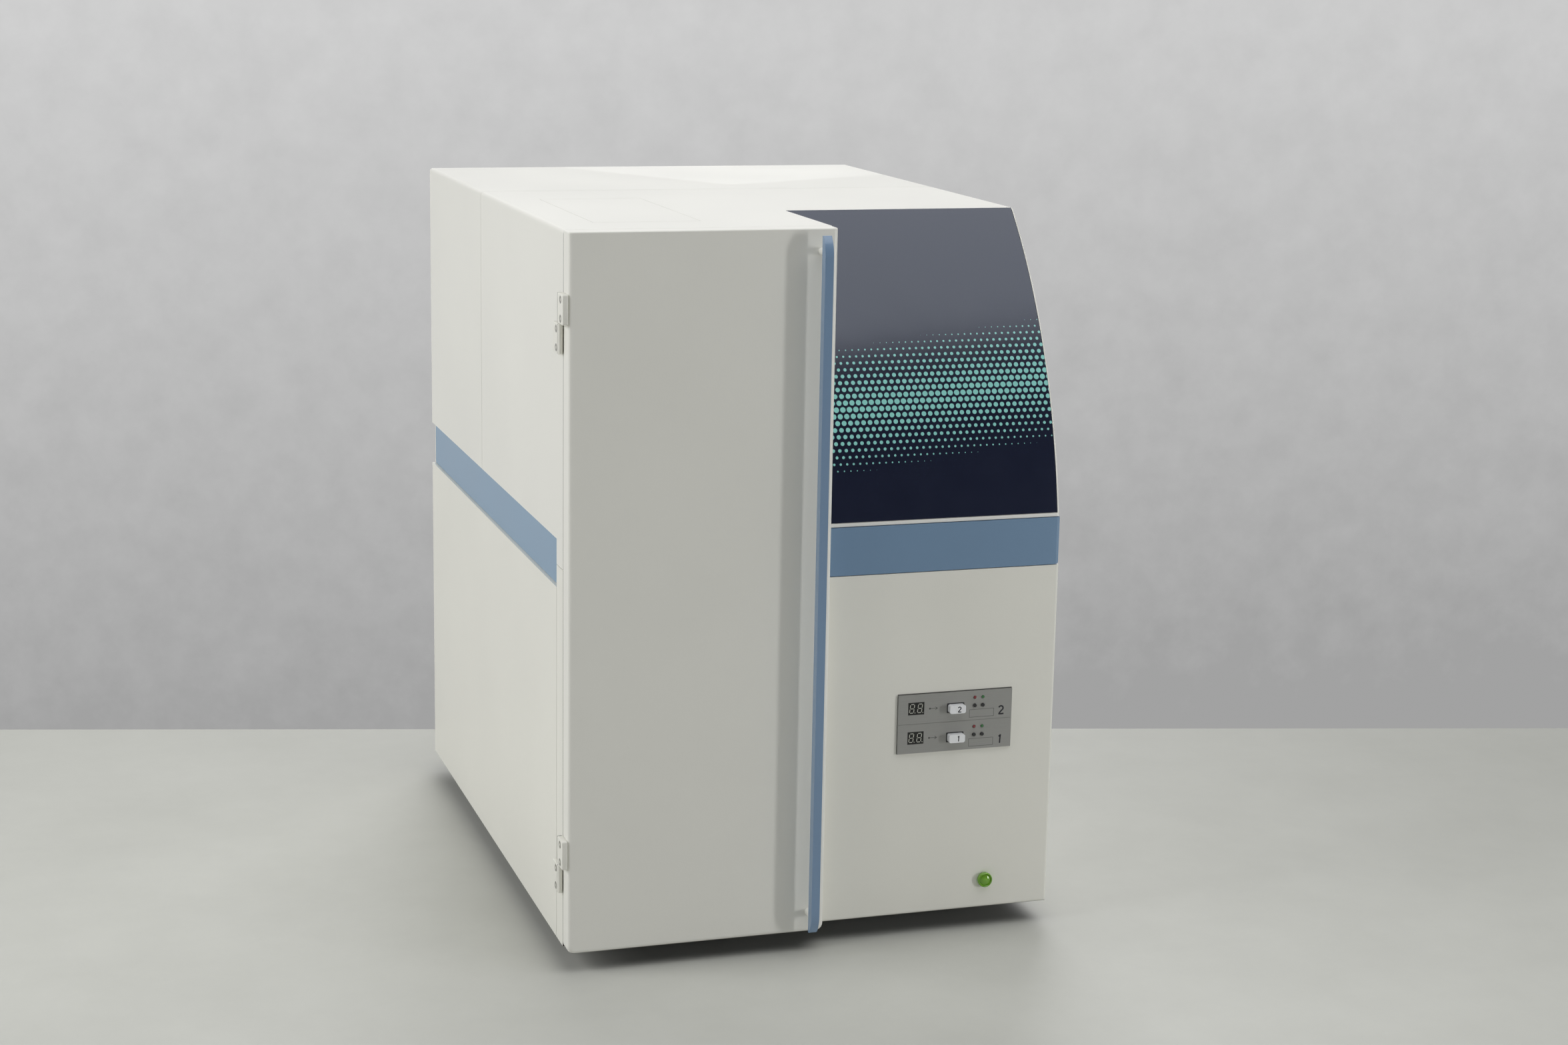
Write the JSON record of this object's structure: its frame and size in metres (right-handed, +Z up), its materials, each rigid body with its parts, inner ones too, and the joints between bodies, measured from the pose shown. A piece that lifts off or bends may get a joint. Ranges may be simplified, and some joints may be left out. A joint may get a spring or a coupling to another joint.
{
  "type": "liquid scintillation counter",
  "caption": "Bench-top microplate liquid scintillation counter: hinged door with bar handle over a plate rack lift, curved hood, two front drives and rear mains module.",
  "frame": {"origin": "on the table, under the middle of the footprint with the door handle, the hinges and the rear fittings counted in", "axes": "+X to the instrument's right seen from the front, +Y from the door to the rear panel, +Z up"},
  "size_m": [0.4298, 0.6013, 0.602],
  "materials": {
    "cream_paint": "satin",
    "cream_plastic": "satin",
    "blue_paint": "satin",
    "handle_blue": "satin",
    "graphic_dark": "gloss",
    "steel": "brushed",
    "aluminium": "satin",
    "bezel_grey": "brushed",
    "black_plastic": "satin",
    "white_plastic": "gloss",
    "rubber": "matt",
    "lens_green": "gloss",
    "display_black": "gloss",
    "lead_grey": "matt",
    "tube_black": "gloss",
    "board_green": "satin",
    "bronze": "satin"
  },
  "bodies": {
    "instrument": {"base_plate": "aluminium", "feet": "rubber", "left_lower_panel": "cream_paint", "right_lower_panel": "cream_paint", "side_stripes": "blue_paint", "front_stripe": "blue_paint", "front_lower_panel": "cream_paint", "front_top_cover": "cream_plastic", "graphic_panel": "graphic_dark", "rear_top_cover": "cream_plastic", "tower_frame": "cream_paint", "door_magnet": "black_plastic", "door_switch": "black_plastic", "tower_partition": "aluminium", "rear_panel": "cream_paint", "hinge_body_leaves": "cream_paint", "guide_rods": "steel", "top_bracket": "aluminium", "motors": "black_plastic", "lift_belt": "rubber", "transfer_deck": "aluminium", "support_posts": "steel", "tray_rails": "aluminium", "lead_shields": "lead_grey", "photomultipliers": "tube_black", "counter_boards": "board_green", "power_supply": "steel", "drive_bezels": "bezel_grey", "drive_cases": "steel", "drive_cage": "steel", "drive_indicators": "display_black", "power_lamp": "lens_green", "fan_frame": "black_plastic", "fan_guard": "steel", "mains_inlet": "black_plastic", "serial_ports": "steel"},
    "door": {"door_shell": "cream_plastic", "door_liner": "aluminium", "door_gasket": "rubber", "handle_bar": "handle_blue", "handle_posts": "cream_plastic", "hinge_door_leaves": "cream_paint"},
    "hatch": {"top_hatch": "cream_plastic"},
    "carriage": {"lift_carriage": "aluminium", "carriage_bushes": "bronze", "rack_frame": "aluminium", "rack_ledges": "aluminium"},
    "lift_drive": {"drive_pulley": "steel"},
    "lift_idler": {"idler_pulley": "aluminium"},
    "tray": {"plate_tray": "black_plastic"},
    "fan": {"fan_rotor": "black_plastic"},
    "upper_stick": {"upper_usb_stick": "white_plastic"},
    "lower_stick": {"lower_usb_stick": "white_plastic"},
    "upper_left_key": {"upper_left_button": "black_plastic"},
    "upper_right_key": {"upper_right_button": "black_plastic"},
    "lower_left_key": {"lower_left_button": "black_plastic"},
    "lower_right_key": {"lower_right_button": "black_plastic"},
    "rocker": {"mains_rocker": "black_plastic"},
    "fuse": {"fuse_drawer": "black_plastic"},
    "plunger": {"switch_plunger": "white_plastic"}
  },
  "joints": [
    {"name": "door_swing", "type": "hinge", "parent": "instrument", "child": "door", "pos_m": [-0.2151, -0.26525, 0.3], "axis": [0, 0, -1], "range_deg": [0, 110]},
    {"name": "hatch_lift", "type": "slide", "parent": "instrument", "child": "hatch", "axis": [0, 0, 1], "range_m": [0, 0.05]},
    {"name": "rack_lift", "type": "slide", "parent": "instrument", "child": "carriage", "axis": [0, 0, 1], "range_m": [0, 0.243]},
    {"name": "drive_pulley_spin", "type": "hinge", "parent": "instrument", "child": "lift_drive", "pos_m": [-0.2, -0.098, 0.04345], "axis": [-1, 0, 0], "range_deg": [-10, 1022.6]},
    {"name": "idler_pulley_spin", "type": "hinge", "parent": "instrument", "child": "lift_idler", "pos_m": [-0.2, -0.098, 0.56], "axis": [-1, 0, 0], "range_deg": [-10, 1022.6]},
    {"name": "tray_slide", "type": "slide", "parent": "instrument", "child": "tray", "axis": [0, -1, 0], "range_m": [0, 0.165]},
    {"name": "fan_spin", "type": "hinge", "parent": "instrument", "child": "fan", "pos_m": [0.11, 0.27, 0.43], "axis": [0, 1, 0], "continuous": true},
    {"name": "upper_stick_pull", "type": "slide", "parent": "instrument", "child": "upper_stick", "axis": [0, -1, 0], "range_m": [0, 0.014]},
    {"name": "lower_stick_pull", "type": "slide", "parent": "instrument", "child": "lower_stick", "axis": [0, -1, 0], "range_m": [0, 0.014]},
    {"name": "upper_left_press", "type": "slide", "parent": "instrument", "child": "upper_left_key", "axis": [0, 1, 0], "range_m": [0, 0.0005], "stiffness_N_per_m": 150},
    {"name": "upper_right_press", "type": "slide", "parent": "instrument", "child": "upper_right_key", "axis": [0, 1, 0], "range_m": [0, 0.0005], "stiffness_N_per_m": 150},
    {"name": "lower_left_press", "type": "slide", "parent": "instrument", "child": "lower_left_key", "axis": [0, 1, 0], "range_m": [0, 0.0005], "stiffness_N_per_m": 150},
    {"name": "lower_right_press", "type": "slide", "parent": "instrument", "child": "lower_right_key", "axis": [0, 1, 0], "range_m": [0, 0.0005], "stiffness_N_per_m": 150},
    {"name": "rocker_tilt", "type": "hinge", "parent": "instrument", "child": "rocker", "pos_m": [0.165, 0.293, 0.0915], "axis": [1, 0, 0], "range_deg": [0, 16]},
    {"name": "fuse_drawer_pull", "type": "slide", "parent": "instrument", "child": "fuse", "axis": [0, 1, 0], "range_m": [0, 0.02]},
    {"name": "plunger_press", "type": "slide", "parent": "instrument", "child": "plunger", "axis": [0, 1, 0], "range_m": [0, 0.002], "stiffness_N_per_m": 200}
  ],
  "couplings": [
    {"joint": "drive_pulley_spin", "follows": "rack_lift", "rad_per_m": 72.727},
    {"joint": "idler_pulley_spin", "follows": "rack_lift", "rad_per_m": 72.727}
  ]
}
